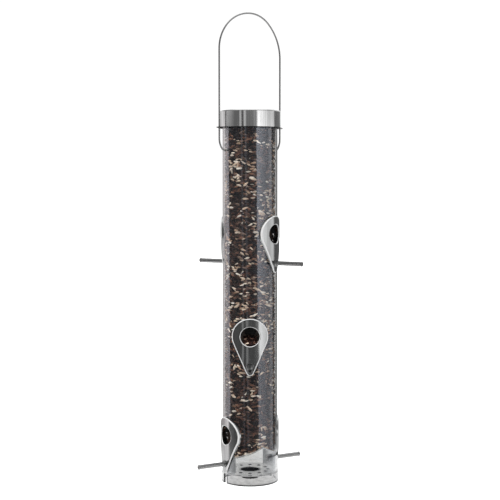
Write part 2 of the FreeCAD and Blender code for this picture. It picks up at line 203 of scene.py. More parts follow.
# --- world: a studio with soft lights at its sides ---------------------------
# Level of the studio by azimuth in degrees, round from the back by the left. They lie one above
# another: ROUND_CUP is what the cup mirrors, LOW the tube, HIGH the lid, and UPPER_BACK is on top.
LEFT_HIGH = ((-180, 0.20), (-162, 0.35), (-145, 0.75), (-116, 1.0), (-114, 0.62), (-82, 0.55))
LEFT_LOW = (
    (-180, 0.06), (-176, 0.06), (-168, 0.56), (-152, 0.58), (-138, 0.66), (-119, 1.15), (-102, 1.80),
    (-100.5, 0.12),
)
MIDDLE_HIGH = (
    (-56, 0.18), (-38, 0.16), (-36.5, 0.68), (-31, 0.68), (-29.5, 0.12), (-22, 0.12), (-20, 0.80),
    (-15, 0.70), (-11, 0.22), (13, 0.25), (17, 0.40), (25, 0.36), (27.5, 0.40),
)
MIDDLE_LOW = (
    (-56, 0.14), (-38, 0.12), (-36.5, 0.45), (-31, 0.45), (-29.5, 0.08), (-22, 0.08), (-20, 0.50),
    (-15, 0.42), (-11, 0.14), (13, 0.14), (17, 0.22), (25, 0.22), (27.5, 0.26),
)
RIGHT_HIGH = (
    (30, 1.30), (36, 1.40), (48, 1.15), (64, 0.92), (78, 0.70), (94, 0.72), (104, 0.60),
    (107.5, 0.17), (150, 0.24), (157, 0.40), (163, 0.95), (180, 0.60),
)
RIGHT_LOW = (
    (30, 1.75), (40, 1.70), (54, 1.35), (68, 1.05), (80, 0.85), (94, 1.10), (104, 0.90),
    (107.5, 0.15), (140, 0.15), (160, 0.16), (180, 0.30),
)
UPPER_BACK = (
    (-180, 1.05), (-138, 1.05), (-112, 0.30), (-60, 0.20), (60, 0.22), (112, 0.35), (138, 1.05), (180, 1.05),
)
ROUND_CUP = (
    (-180, 1.20), (-115, 1.20), (-95, 0.45), (-60, 0.06), (30, 0.05), (60, 0.35), (84, 0.60),
    (96, 0.55), (104, 1.00), (180, 1.05),
)
PEAK = 2.5                 # the brightest level that a ramp may hold
CUP_END = -0.228           # heights of a direction where one part of the studio gives way to the next
CUP_START = -0.221
LOW_END = 0.0448
HIGH_START = 0.0466
HIGH_END = 0.10
UPPER_START = 0.14
LEFT_FADE = (0.84, 0.86)   # what the lower lights are multiplied by, from FADE_LOW up to FADE_HIGH
RIGHT_FADE = (0.76, 1.22)
FADE_LOW = -0.20
FADE_HIGH = 0.03
FADE_SPLIT = (0.22, 0.24)  # where LEFT_FADE gives way to RIGHT_FADE, on the round from 0 to 1
LEFT_TINT = (1.04, 0.97, 0.98)       # of LEFT_LOW
SLANT = 45.0               # degrees of azimuth that the lights lean by, for each unit of height
CEILING = ((0.46, 0.40), (0.56, 0.50), (0.78, 0.55), (0.84, 1.60))      # height, level
BOTTOM_LEVEL = 0.95
BOTTOM_HEIGHTS = (-0.40, -0.52)      # of a direction, where the bottom's level comes in
WHITE = 1.05               # behind the object
THROUGH_PLASTIC = 0.84     # the same white seen through clear plastic
FILL = 0.20                # soft light on the seeds from all round
KEY = 5.2                  # and from the front, above
KEY_DIRECTION = (-0.30, -0.62, 0.72)
KEY_FALL = 2.0             # power of the cosine by which it falls off


def ramp_stops(levels, tint=(1.0, 1.0, 1.0)):
    """Ramp stops for levels given by azimuth."""
    return [((azimuth + 180.0) / 360.0, tuple(level / PEAK * t for t in tint)) for azimuth, level in levels]


def faded(n, colour, turn, height):
    """The lower lights, dimmed towards the bottom by a different amount at each side."""
    left = n.range(height, FADE_LOW, FADE_HIGH, *LEFT_FADE)
    right = n.range(height, FADE_LOW, FADE_HIGH, *RIGHT_FADE)
    at_right = n.share(turn, *FADE_SPLIT)
    fade = n.math("ADD", n.math("MULTIPLY", at_right, n.math("SUBTRACT", right, left)), left)
    return n.mix(1.0, colour, n.grey(fade), "MULTIPLY")


def reflected_studio(n, direction):
    """What a polished surface sees: the lights round the object, the ceiling and the bottom."""
    axes = n.add("ShaderNodeSeparateXYZ", {0: direction})
    height = axes.outputs["Z"]
    front = n.math("MULTIPLY", axes.outputs["Y"], -1.0)
    azimuth = n.math("ARCTAN2", axes.outputs["X"], front)
    lean = n.math("MULTIPLY", height, math.radians(SLANT))
    turn = n.range(n.math("ADD", azimuth, lean), -math.pi, math.pi, 0.0, 1.0)
    cup = n.ramp(turn, ramp_stops(ROUND_CUP))
    low = n.ramp(turn, ramp_stops(LEFT_LOW, LEFT_TINT) + ramp_stops(MIDDLE_LOW + RIGHT_LOW))
    high = n.ramp(turn, ramp_stops(LEFT_HIGH + MIDDLE_HIGH + RIGHT_HIGH))
    back = n.ramp(turn, ramp_stops(UPPER_BACK))
    ceiling = n.ramp(height, [(place, grey(level / PEAK)) for place, level in CEILING])
    bottom = (*grey(BOTTOM_LEVEL / PEAK), 1.0)
    colour = n.mix(n.share(height, CUP_END, CUP_START), cup, faded(n, low, turn, height))
    colour = n.mix(n.share(height, LOW_END, HIGH_START), colour, high)
    colour = n.mix(n.share(height, HIGH_END, UPPER_START), colour, back)
    colour = n.mix(n.share(height, CEILING[0][0], CEILING[1][0]), colour, ceiling)
    return n.mix(n.share(height, *BOTTOM_HEIGHTS), colour, bottom)


def soft_light(n, direction):
    """Level of the light on rough surfaces: a fill from all round, and a key."""
    key = tuple(Vector(KEY_DIRECTION).normalized())
    product = n.add("ShaderNodeVectorMath", {0: direction, 1: key}, operation="DOT_PRODUCT")
    beam = n.math("POWER", n.math("MAXIMUM", product.outputs["Value"], 0.0), KEY_FALL)
    return n.math("MULTIPLY_ADD", beam, KEY, FILL)


def make_world():
    """White behind the object, and lights in its reflections."""
    world = bpy.data.worlds.new("studio")
    world.use_nodes = True
    world.cycles.sampling_method = "NONE"
    bpy.context.scene.world = world
    n = Nodes(world.node_tree)
    direction = n.add("ShaderNodeTexCoord").outputs["Generated"]
    path = n.add("ShaderNodeLightPath").outputs
    studio = reflected_studio(n, direction)
    mirrored = n.add("ShaderNodeBackground", {"Color": studio, "Strength": PEAK})
    soft = soft_light(n, direction)
    diffused = n.add("ShaderNodeBackground", {"Color": (1, 1, 1, 1), "Strength": soft})
    through = n.math("SUBTRACT", 1.0, path["Is Camera Ray"])
    white = n.range(through, 0.0, 1.0, WHITE, THROUGH_PLASTIC)
    plain = n.add("ShaderNodeBackground", {"Color": (1, 1, 1, 1), "Strength": white})
    by_gloss = n.math("GREATER_THAN", path["Glossy Depth"], 0.5)
    by_diffuse = n.math("GREATER_THAN", path["Diffuse Depth"], 0.5)
    first = n.add("ShaderNodeMixShader", {0: by_gloss, 1: plain.outputs[0], 2: mirrored.outputs[0]})
    second = n.add("ShaderNodeMixShader", {0: by_diffuse, 1: first.outputs[0], 2: diffused.outputs[0]})
    n.add("ShaderNodeOutputWorld", {"Surface": second.outputs[0]})


# --- materials ---------------------------------------------------------------
# A noise's scale is given along X, Y and Z per metre.
PLASTIC_IOR = 1.6
PLASTIC_TINT = (0.975, 0.98, 0.985, 1)
MIRROR_TINT = (0.84, 0.89, 1.0, 1)   # of the reflections in the plastic
DRAW_LINES = (900, 900, 14)
HANDLING_MARKS = (60, 60, 45)
ABSORPTION = 14.0          # per metre
CUP_ABSORPTION = 4.0
BODY_TINT = (0.0, 0.02, 0.05, 1)


def plastic_surface(n, tint=PLASTIC_TINT):
    """Clear extruded plastic with faint draw lines and handling marks."""
    place = n.add("ShaderNodeTexCoord").outputs["Object"]
    lines = n.noise(place, DRAW_LINES, 3.0)
    marks = n.noise(place, HANDLING_MARKS, 4.0, 0.65)
    inputs = {
        "Base Color": tint,
        "Roughness": n.range(marks, 0.35, 0.75, 0.0, 0.05),
        "IOR": PLASTIC_IOR,
        "Specular Tint": MIRROR_TINT,
        "Transmission Weight": 1.0,
        "Normal": n.bump(lines, 0.00001, 0.25),
    }
    return n.add("ShaderNodeBsdfPrincipled", inputs).outputs[0]


def finish_plastic(n, shader, absorption):
    """Ends a plastic's tree with its surface and a body that dims what shines through it."""
    body = n.add("ShaderNodeVolumeAbsorption", {"Color": BODY_TINT, "Density": absorption})
    n.add("ShaderNodeOutputMaterial", {"Surface": shader, "Volume": body.outputs[0]})


def clear_plastic():
    """The tube's plastic."""
    material, n = new_material("clear_plastic_worn")
    finish_plastic(n, plastic_surface(n), ABSORPTION)
    return material


DRAIN_COUNT = 12
DRAIN_RING_R = 0.0212
DRAIN_SHADE_R = 0.0023
DRAIN_SHADE_EDGE = 0.0002   # over which the painted shade in a drain hole fades out
# Painted shade in the drain holes, where one looks into the shade under the floor: its patches and its tone.
DRAIN_SHADE_PATCHES = (900, 900, 900)
DRAIN_SHADE_TONE = 0.03
FLOOR_LEVELS = (0.0108, 0.0134)      # heights that hold the cup's floor
# Painted shade in the skirt by its height, from the rim at 0 to the floor at 1: darkest along the bottom rim,
# and darker below the floor, where the table under the cup lies in shade.
SKIRT_SHADE_TONES = ((0.0, 0.04), (0.10, 0.06), (0.17, 0.60), (0.4, 0.68), (1.0, 0.70))
SKIRT_MOTTLE = (160, 160, 420)
SKIRT_MOTTLE_LEVELS = (0.78, 1.12)
CUP_TOP_EDGE = 0.0321      # the cup's thin top edge hardly shows above this height
CUP_FLOOR_R = 0.0312
FLOOR_MILK = 0.50          # share of light that the cup's floor scatters
EDGE_MILK = 0.10           # the same, in the wall round the floor
MILK_TONE = 0.95


def drain_hole_shade(n, place, radius, axes):
    """Mask of the painted shade in the ring of drain holes, at any height."""
    step = 2 * math.pi / DRAIN_COUNT
    turn = n.math("ARCTAN2", axes[0], axes[1])
    local = n.math("WRAP", turn, step / 2, -step / 2)
    across = n.math("MULTIPLY", radius, n.math("SINE", local))
    along = n.math("SUBTRACT", n.math("MULTIPLY", radius, n.math("COSINE", local)), DRAIN_RING_R)
    in_hole = n.share(length_of(n, across, along), DRAIN_SHADE_R, DRAIN_SHADE_R - DRAIN_SHADE_EDGE)
    patches = n.range(n.noise(place, DRAIN_SHADE_PATCHES, 3.0), 0.3, 0.6, 0.8, 1.0)
    return n.math("MULTIPLY", in_hole, patches)


def skirt_shade(n, place, height):
    """Painted shade in the skirt, mottled, darkest along the bottom rim."""
    stops = [(level, grey(tone)) for level, tone in SKIRT_SHADE_TONES]
    colour = n.ramp(n.share(height, 0.0, FLOOR_LEVELS[0]), stops)
    mottle = n.spread(n.noise(place, SKIRT_MOTTLE, 4.0, 0.65), *SKIRT_MOTTLE_LEVELS)
    return n.mix(1.0, colour, n.grey(mottle), "MULTIPLY")


def cup_plastic():
    """The same plastic with a milky floor, painted shade in the skirt and painted shade in the drain holes.
    """
    material, n = new_material("clear_plastic_cup")
    place = n.add("ShaderNodeTexCoord").outputs["Object"]
    axes = n.add("ShaderNodeSeparateXYZ", {0: place}).outputs
    radius = from_axis(n, axes)
    above = n.math("GREATER_THAN", axes[2], FLOOR_LEVELS[0])
    below = n.math("LESS_THAN", axes[2], FLOOR_LEVELS[1])
    in_floor = n.math("MULTIPLY", above, below)
    # Below the floor the skirt carries painted shade; above it, the plastic's own tint.
    tint = n.mix(above, skirt_shade(n, place, axes[2]), PLASTIC_TINT)
    milk = n.add("ShaderNodeBsdfTranslucent", {"Color": (*grey(MILK_TONE), 1)})
    share = n.range(n.math("GREATER_THAN", radius, CUP_FLOOR_R), 0.0, 1.0, FLOOR_MILK, EDGE_MILK)
    milky = n.math("MULTIPLY", in_floor, share)
    plastic = n.add("ShaderNodeMixShader", {0: milky, 1: plastic_surface(n, tint), 2: milk.outputs[0]})
    # Painted shade in the drain holes.
    hole_shade = n.add("ShaderNodeBsdfDiffuse", {"Color": (*grey(DRAIN_SHADE_TONE), 1)})
    shaded_holes = n.math("MULTIPLY", drain_hole_shade(n, place, radius, axes), in_floor)
    both = n.add("ShaderNodeMixShader", {0: shaded_holes, 1: plastic.outputs[0], 2: hole_shade.outputs[0]})
    edge = n.math("GREATER_THAN", axes[2], CUP_TOP_EDGE)
    faint = n.add("ShaderNodeBsdfTransparent", {"Color": PLASTIC_TINT})
    whole = n.add("ShaderNodeMixShader", {0: edge, 1: both.outputs[0], 2: faint.outputs[0]})
    finish_plastic(n, whole.outputs[0], CUP_ABSORPTION)
    return material


# A plate's rounded edges lie between these distances from the axis.
RIM_FROM = 0.0335
RIM_TO = 0.03442
RIM_WIDTH = 0.0010         # of the painted highlight band along a plate's outline
RIM_HIGHLIGHT_FINISH = (0.50, 0.50, 0.45)      # tone, metallic, roughness
PLATE_TIP_R = 0.0046
PLATE_TIP_DROP = 0.0405    # from the head's centre down to the tip's
PLATE_MIDDLE = 0.012       # from the head's centre down to the plate's middle
PERCH_TOP_FROM = 0.0009    # a perch's top carries painted shade from this height above its axis
PERCH_TOP_TO = 0.0021
PERCH_END_R = 0.0675       # and only this near the tube's axis
PERCH_TOP_SHADE_SHARE = (0.35, 1.0)         # strength of the painted shade, from the lowest perches to the highest
PERCH_TOP_SHADE_FINISH = (0.10, 1.0, 0.35)
METAL_CLOUDS = (70, 70, 50)
STREAK_ROUGHNESS = (-0.04, 0.05)     # added to a metal's own roughness
CLOUD_ROUGHNESS = (-0.03, 0.03)


def plate_rim_highlight(n, place):
    """Mask of the painted highlight on the plates' edges: their round edges, and a band in each outline."""
    axes = n.add("ShaderNodeSeparateXYZ", {0: place}).outputs
    radius = from_axis(n, axes)
    rounded = n.math("LESS_THAN", radius, RIM_TO)
    above = n.math("SUBTRACT", axes[2], PORTS[0][1])
    tier = n.math("ROUND", n.math("DIVIDE", n.math("ADD", above, PLATE_MIDDLE), PORT_PITCH))
    down = n.math("SUBTRACT", n.math("MULTIPLY", tier, PORT_PITCH), above)
    azimuth = n.math("ARCTAN2", axes[0], n.math("MULTIPLY", axes[1], -1.0))
    middle = n.math("MULTIPLY", n.math("SUBTRACT", tier, 1.0), math.radians(PORT_TURN))
    turn = n.math("WRAP", n.math("SUBTRACT", azimuth, middle), math.pi / 2, -math.pi / 2)
    across = n.math("ABSOLUTE", n.math("MULTIPLY", n.math("SINE", turn), radius))
    # Distance outside the outline of two circles and the straight sides that join them.
    sine = (PLATE_HEAD_R - PLATE_TIP_R) / PLATE_TIP_DROP
    cosine = math.sqrt(1 - sine ** 2)
    head = n.math("SUBTRACT", length_of(n, across, down), PLATE_HEAD_R)
    tip = n.math("SUBTRACT", length_of(n, across, n.math("SUBTRACT", down, PLATE_TIP_DROP)), PLATE_TIP_R)
    side = n.math("ADD", n.math("MULTIPLY", across, cosine), n.math("MULTIPLY", down, sine))
    side = n.math("SUBTRACT", side, PLATE_HEAD_R)
    along = n.math("SUBTRACT", n.math("MULTIPLY", down, cosine), n.math("MULTIPLY", across, sine))
    at_side = n.math("GREATER_THAN", along, 0.0)
    at_tip = n.math("GREATER_THAN", along, cosine * PLATE_TIP_DROP)
    outside = n.add("ShaderNodeMix", {0: at_side, 2: head, 3: side}).outputs[0]
    outside = n.add("ShaderNodeMix", {0: at_tip, 2: outside, 3: tip}).outputs[0]
    band = n.math("MAXIMUM", rounded, n.math("GREATER_THAN", outside, -RIM_WIDTH))
    return n.math("MULTIPLY", band, n.math("GREATER_THAN", radius, RIM_FROM))


def perch_top_shade(n, place):
    """Mask of the painted shade on the tops of the perches, short of their ends, stronger on the higher
    perches.
    """
    axes = n.add("ShaderNodeSeparateXYZ", {0: place}).outputs
    level = n.math("SUBTRACT", axes[2], PORTS[0][1] - PERCH_DROP)
    level = n.math("WRAP", level, PORT_PITCH / 2, -PORT_PITCH / 2)
    tier_shade = n.range(axes[2], PORTS[0][1], PORTS[2][1], *PERCH_TOP_SHADE_SHARE)
    top = n.math("MULTIPLY", n.share(level, PERCH_TOP_FROM, PERCH_TOP_TO), tier_shade)
    return n.math("MULTIPLY", top, n.math("LESS_THAN", from_axis(n, axes), PERCH_END_R))


def brushed_metal(name, colour, rough, grain, depth, contrast=0.12, mask=None, patch=None, metallic=1.0):
    """Metal with a grain and soft clouds.

    Where mask gives 1 the finish is patch: its tone, metallic and roughness.
    """
    material, n = new_material(name)
    place = n.add("ShaderNodeTexCoord").outputs["Object"]
    streak = n.noise(place, grain, 5.0, 0.6)
    cloud = n.noise(place, METAL_CLOUDS, 3.0, 0.6)
    low = tuple((1 - contrast) * c for c in colour)
    high = tuple(min(1.0, (1 + contrast) * c) for c in colour)
    tone = n.ramp(streak, list(zip(NOISE_SPAN, (low, high))))
    shine = n.spread(streak, *(rough + change for change in STREAK_ROUGHNESS))
    shine = n.math("ADD", shine, n.spread(cloud, *CLOUD_ROUGHNESS))
    if mask:
        part = mask(n, place)
        tone = n.mix(part, tone, (*grey(patch[0]), 1.0))
        metallic = n.math("MULTIPLY_ADD", part, patch[1] - metallic, metallic)
        shine = n.math("MULTIPLY_ADD", part, patch[2] - rough, shine)
    inputs = {
        "Base Color": tone,
        "Metallic": metallic,
        "Roughness": shine,
        "Normal": n.bump(streak, depth, 0.6),
    }
    finish_material(n, n.add("ShaderNodeBsdfPrincipled", inputs).outputs[0])
    return material


SPARKED_GRAIN = (2200, 2200, 2200)
MOULDED_CLOUDS = (120, 120, 120)
BLACK_TONES = (grey(0.008), grey(0.014))


def black_plastic(name, specular, rough):
    """Moulded black plastic with a fine sparked texture."""
    material, n = new_material(name)
    place = n.add("ShaderNodeTexCoord").outputs["Object"]
    fine = n.noise(place, SPARKED_GRAIN, 2.0)
    cloud = n.noise(place, MOULDED_CLOUDS, 3.0)
    inputs = {
        "Base Color": n.ramp(cloud, list(zip(NOISE_SPAN, BLACK_TONES))),
        "Roughness": n.spread(cloud, rough - 0.07, rough + 0.07),
        "Specular IOR Level": specular,
        "Normal": n.bump(fine, 0.00003, 0.5),
    }
    finish_material(n, n.add("ShaderNodeBsdfPrincipled", inputs).outputs[0])
    return material


# Noise scales in a seed's own frame, along it and across it, not per metre.
HUSK_STRIPES = (1.2, 9.0, 9.0)
HUSK_SPOTS = (5.0, 5.0, 5.0)


def husk(name, stops, stripe, rough, specular):
    """Seed husk: a tone for each seed, stripes along it and a fine grain."""
    material, n = new_material(name)
    tone = n.add("ShaderNodeAttribute", attribute_name="tone").outputs["Fac"]
    grain = n.add("ShaderNodeAttribute", attribute_name="grain").outputs["Vector"]
    lines = n.noise(grain, HUSK_STRIPES, 3.0, 0.6)
    spots = n.noise(grain, HUSK_SPOTS, 3.0, 0.6)
    shift = n.math("MULTIPLY", n.math("SUBTRACT", lines, 0.5), stripe)
    colour = n.ramp(n.math("ADD", tone, shift), stops)
    inputs = {
        "Base Color": colour,
        "Roughness": n.spread(spots, rough - 0.08, rough + 0.1),
        "Specular IOR Level": specular,
        "Normal": n.bump(lines, 0.00015, 0.5),
    }
    finish_material(n, n.add("ShaderNodeBsdfPrincipled", inputs).outputs[0])
    return material


FLOOR_SIZE = 12.0
FLOOR_GLOW = 0.78          # light that the floor gives off, which keeps it white
FLOOR_TONES = (grey(0.34), grey(0.36))
FLOOR_CLOUDS = (3, 3, 3)


def floor_material():
    """Plain white sweep that keeps a faint shadow."""
    material, n = new_material("sweep")
    place = n.add("ShaderNodeTexCoord").outputs["Object"]
    cloud = n.noise(place, FLOOR_CLOUDS)
    paint = n.ramp(cloud, list(zip(NOISE_SPAN, FLOOR_TONES)))
    matt = n.add("ShaderNodeBsdfDiffuse", {"Color": paint})
    glow = n.add("ShaderNodeEmission", {"Color": (1, 1, 1, 1), "Strength": FLOOR_GLOW})
    both = n.add("ShaderNodeAddShader", {0: matt.outputs[0], 1: glow.outputs[0]})
    finish_material(n, both.outputs[0])
    return material


# --- seeds -------------------------------------------------------------------
SEED_SIDES = 6
SEED_RINGS = 5
WALL_GAP = 0.25 * MM
# Kind: share, length, width, thickness (mm), balance (1 is widest in the middle, less nearer one end).
KINDS = {
    "seeds_black": (0.47, 7.8, 3.1, 2.3, 0.75),
    "seeds_brown": (0.35, 7.0, 2.6, 2.1, 0.55),
    "seeds_pale": (0.18, 7.4, 2.6, 2.0, 0.65),
}


def seed_shape(balance):
    """Vertices of a seed of length, width and thickness 1 about its centre, long along X."""
    points = [(-0.5, 0.0, 0.0)]
    for ring in range(1, SEED_RINGS + 1):
        t = ring / (SEED_RINGS + 1)
        swell = math.sin(math.pi * t ** balance) ** 0.8
        for side in range(SEED_SIDES):
            angle = 2 * math.pi * side / SEED_SIDES
            points.append((t - 0.5, 0.5 * swell * math.cos(angle), 0.5 * swell * math.sin(angle)))
    points.append((0.5, 0.0, 0.0))
    return np.array(points)


def seed_faces():
    """Faces of one seed, and each face corner's place round and along it (0 to 1)."""
    faces = []
    places = []
    last = 1 + SEED_RINGS * SEED_SIDES
    for side in range(SEED_SIDES):
        after = (side + 1) % SEED_SIDES
        left = side / SEED_SIDES
        right = (side + 1) / SEED_SIDES
        middle = (left + right) / 2
        faces.append((0, 1 + after, 1 + side))
        places.append(((middle, 0.0), (right, 1 / (SEED_RINGS + 1)), (left, 1 / (SEED_RINGS + 1))))
        for ring in range(SEED_RINGS - 1):
            low = 1 + ring * SEED_SIDES
            high = low + SEED_SIDES
            near = (ring + 1) / (SEED_RINGS + 1)
            far = (ring + 2) / (SEED_RINGS + 1)
            faces.append((low + side, low + after, high + after, high + side))
            places.append(((left, near), (right, near), (right, far), (left, far)))
        top = 1 + (SEED_RINGS - 1) * SEED_SIDES
        near = SEED_RINGS / (SEED_RINGS + 1)
        faces.append((last, top + side, top + after))
        places.append(((middle, 1.0), (left, near), (right, near)))
    return faces, places


class Packer:
    """Keeps lying seeds apart on the unrolled wall, by three discs along each."""

    def __init__(self, cell, round_length):
        self.cell = cell
        self.columns = max(1, int(round_length / cell))
        self.round = round_length
        self.grid = {}

    def discs(self, s, z, angle, length, width):
        step = 0.3 * length
        for k in (-1, 0, 1):
            radius = width / 2 * (0.72 if k else 0.95)
            yield s + k * step * math.cos(angle), z + k * step * math.sin(angle), radius

    def fits(self, discs, slack):
        for s, z, radius in discs:
            column = int(s / self.cell)
            row = int(z / self.cell)
            for i in (-1, 0, 1):
                for j in (-1, 0, 1):
                    for os_, oz, o_radius in self.grid.get(((column + i) % self.columns, row + j), ()):
                        across = abs(s - os_) % self.round
                        across = min(across, self.round - across)
                        if math.hypot(across, z - oz) < slack * (radius + o_radius):
                            return False
        return True

    def add(self, discs):
        for s, z, radius in discs:
            key = (int(s / self.cell) % self.columns, int(z / self.cell))
            self.grid.setdefault(key, []).append((s, z, radius))


def roof_height(x, y):
    """Height of the deflector's roof above a point."""
    fall = abs(Vector((x, y, 0)).dot(outward(ROOF_AZIMUTH)))
    return ROOF_RIDGE_Z - fall * math.tan(math.radians(ROOF_SLOPE))


NUT_CLEARANCE = 5.0 * MM
HOOK_CLEARANCE = 2.2 * MM


def wall_is_free(azimuth, height, radius, margin):
    """True where a seed may lie against the wall: clear of the hoods, the nuts and the bail's hooks."""
    for port_azimuth, port_z in PORTS:
        across = turn_from(azimuth, port_azimuth) * radius
        if math.hypot(across, height - port_z) < HOOD_R + margin:
            return False
        if math.hypot(across, height - port_z + PERCH_DROP) < NUT_CLEARANCE + margin * 0.4:
            return False
    for hook_azimuth in (HOOK_AZIMUTH, HOOK_AZIMUTH + 180.0):
        across = turn_from(azimuth, hook_azimuth) * radius
        if math.hypot(across, height - HOOK_Z) < HOOK_CLEARANCE:
            return False
    return True


def basis(along, normal):
    """Rotation whose X is along and whose Z is as near as it can be to normal."""
    x = along.normalized()
    y = normal.cross(x).normalized()
    z = x.cross(y)
    return Matrix((x, y, z)).transposed()


WALL_SEED_SIZES = (0.60, 1.14)
WALL_LAYERS = ((0.2 * MM, 22000, 0.84), (1.9 * MM, 15000, 0.86))     # depth, tries, slack
PACKER_CELL = 4.5 * MM
ROOF_GAP = 1.9 * MM        # from the roof's sheet up to the middles of the seeds along the wall
TOP_GAP = 1.5 * MM         # and from those up to the level top
HOOD_GAP = 1.5 * MM
WALL_PLAY = 0.5 * MM
SEED_LEAN = 0.34           # spread of a wall seed's angle, in radians
STEEP_SHARE = 0.12         # and the seeds that lie at any angle up to STEEP_LEAN
STEEP_LEAN = 1.4
SEED_TILT = 0.35
CLUMP_SCALE = 62.0         # per metre
CLUMPING = 0.62
SHADE_DEPTH = 7.0 * MM     # painted shade under the lid: this near the top, most seeds are black ones
SHADE_SHARE = 0.85         # share of black seeds there, and in the heaps at the feed holes, as painted shade
PALE_FADE_Z = 0.2            # pale seeds thin out below this height, so the seeds are darker towards the bottom
PALE_FADE_SHARE = 0.16


def seed_size(rng, kind, sizes):
    """Length, width and thickness of a seed of a kind, in metres."""
    size = rng.uniform(*sizes)
    return tuple(size * value * MM for value in KINDS[kind][1:4])


def pick_kind(rng, place):
    """A kind of seed; the pale ones lie in clumps."""
    draw = rng.random() + CLUMPING * noise.noise(Vector(place) * CLUMP_SCALE)
    draw -= PALE_FADE_SHARE * max(0.0, 1.0 - place[2] / PALE_FADE_Z)
    draw = min(max(draw, 0.0), 0.999)
    for name, values in KINDS.items():
        draw -= values[0]
        if draw < 0:
            return name
    return "seeds_brown"


def lay_on_wall(rng, seeds, depth, tries, slack):
    """One layer of seeds round the tube, depth inside its wall."""
    radius = TUBE_INNER_R - depth
    round_length = 2 * math.pi * radius
    packer = Packer(PACKER_CELL, round_length)
    for _ in range(tries):
        s = rng.uniform(0, round_length)
        azimuth = math.degrees(s / radius)
        point = outward(azimuth) * radius
        lowest = roof_height(point.x, point.y) + ROOF_GAP
        z = rng.uniform(lowest, SEED_TOP - TOP_GAP)
        kind = pick_kind(rng, (point.x, point.y, z))
        # Near the top, black seeds paint the shade under the lid.
        if z > SEED_TOP - SHADE_DEPTH and rng.random() < SHADE_SHARE:
            kind = "seeds_black"
        length, width, thickness = seed_size(rng, kind, WALL_SEED_SIZES)
        angle = rng.gauss(0, SEED_LEAN)
        if rng.random() < STEEP_SHARE:
            angle = rng.uniform(-STEEP_LEAN, STEEP_LEAN)
        if not wall_is_free(azimuth, z, radius, HOOD_GAP + 0.25 * length):
            continue
        discs = list(packer.discs(s, z, angle, length, width))
        if not packer.fits(discs, slack):
            continue
        packer.add(discs)
        tangent = along_wall(azimuth)
        if rng.random() < 0.5:
            tangent = -tangent
        along = tangent * math.cos(angle) + Vector((0, 0, 1)) * math.sin(angle)
        normal = outward(azimuth) + Vector((0, 0, rng.gauss(0, SEED_TILT)))
        reach = math.cos(angle) * length / 2
        middle = math.sqrt(radius ** 2 - reach ** 2) - thickness / 2 - WALL_GAP
        middle -= rng.uniform(0, WALL_PLAY)
        place = outward(azimuth) * middle
        place.z = z
        seeds[kind].append((place, basis(along, normal), (length, width, thickness)))


HEAP_SEEDS = 60
HEAP_SEED_SIZES = (0.75, 1.0)
HEAP_R = 25.5 * MM         # distance of the heap's foot from the tube's axis
HEAP_RUN = 15.0 * MM
HEAP_DROP = 9.0 * MM       # from the feed hole's centre down to the heap's foot
HEAP_RISE = 7.5 * MM
HEAP_HALF_WIDTH = 8.2 * MM
HEAP_DEPTHS = (0.2 * MM, 1.6 * MM)   # of its seeds' middles under its surface


def lay_in_ports(rng, seeds):
    """The heap that slopes down to each feed hole."""
    for azimuth, height in PORTS:
        out = outward(azimuth)
        side = along_wall(azimuth)
        for _ in range(HEAP_SEEDS):
            # Most heap seeds are black, as painted shade inside the feed hole.
            kind = "seeds_black"
            if rng.random() >= SHADE_SHARE:
                kind = pick_kind(rng, (rng.random(), out.x, PALE_FADE_Z))
            length, width, thickness = seed_size(rng, kind, HEAP_SEED_SIZES)
            depth = rng.uniform(0.0, 1.0)
            across = rng.uniform(-HEAP_HALF_WIDTH, HEAP_HALF_WIDTH)
            place = out * (HEAP_R - depth * HEAP_RUN) + side * across
            place.z = height + (depth * HEAP_RISE - HEAP_DROP) - rng.uniform(*HEAP_DEPTHS)
            yaw = rng.uniform(0, math.pi)
            along = side * math.cos(yaw) + out * math.sin(yaw)
            along.z += rng.gauss(0, 0.25)
            normal = Vector((0, 0, 1)) + out * 0.5
            seeds[kind].append((place, basis(along, normal), (length, width, thickness)))


ROOF_SEEDS = 170
ROOF_PALE_SHARE = 0.3
ROOF_SEED_LEAN = 0.3
ROOF_INSETS = (0.1 * MM, 1.6 * MM)   # from the wall to a seed


def roof_normal(azimuth):
    """Upward normal of the side of the roof that faces an azimuth."""
    slope = math.radians(ROOF_SLOPE)
    fall = outward(ROOF_AZIMUTH)
    if outward(azimuth).dot(fall) < 0:
        fall = -fall
    return fall * math.sin(slope) + Vector((0, 0, math.cos(slope)))


def lay_on_roof(rng, seeds):
    """The last seeds, lying on the deflector's roof along the wall."""
    for step in range(ROOF_SEEDS):
        azimuth = 360.0 * (step + rng.random()) / ROOF_SEEDS
        kind = "seeds_pale"
        if rng.random() >= ROOF_PALE_SHARE:
            kind = pick_kind(rng, (rng.random(), 0, PALE_FADE_Z))
        length, width, thickness = seed_size(rng, kind, HEAP_SEED_SIZES)
        normal = roof_normal(azimuth)
        yaw = rng.gauss(0, ROOF_SEED_LEAN)
        along = along_wall(azimuth) * math.cos(yaw) + outward(azimuth) * math.sin(yaw)
        along -= normal * along.dot(normal)
        reach = length / 2 * abs(math.cos(yaw))
        inset = length / 2 * abs(math.sin(yaw)) + width / 2
        radius = math.sqrt(TUBE_INNER_R ** 2 - reach ** 2) - inset - rng.uniform(*ROOF_INSETS)
        place = outward(azimuth) * radius
        place.z = roof_height(place.x, place.y) + ROOF_SHEET + thickness * 0.5
        seeds[kind].append((place, basis(along, normal), (length, width, thickness)))


TOP_SEEDS = 420
TOP_SEED_SIZES = (0.8, 1.1)
TOP_DEPTHS = (0.3 * MM, 2.2 * MM)


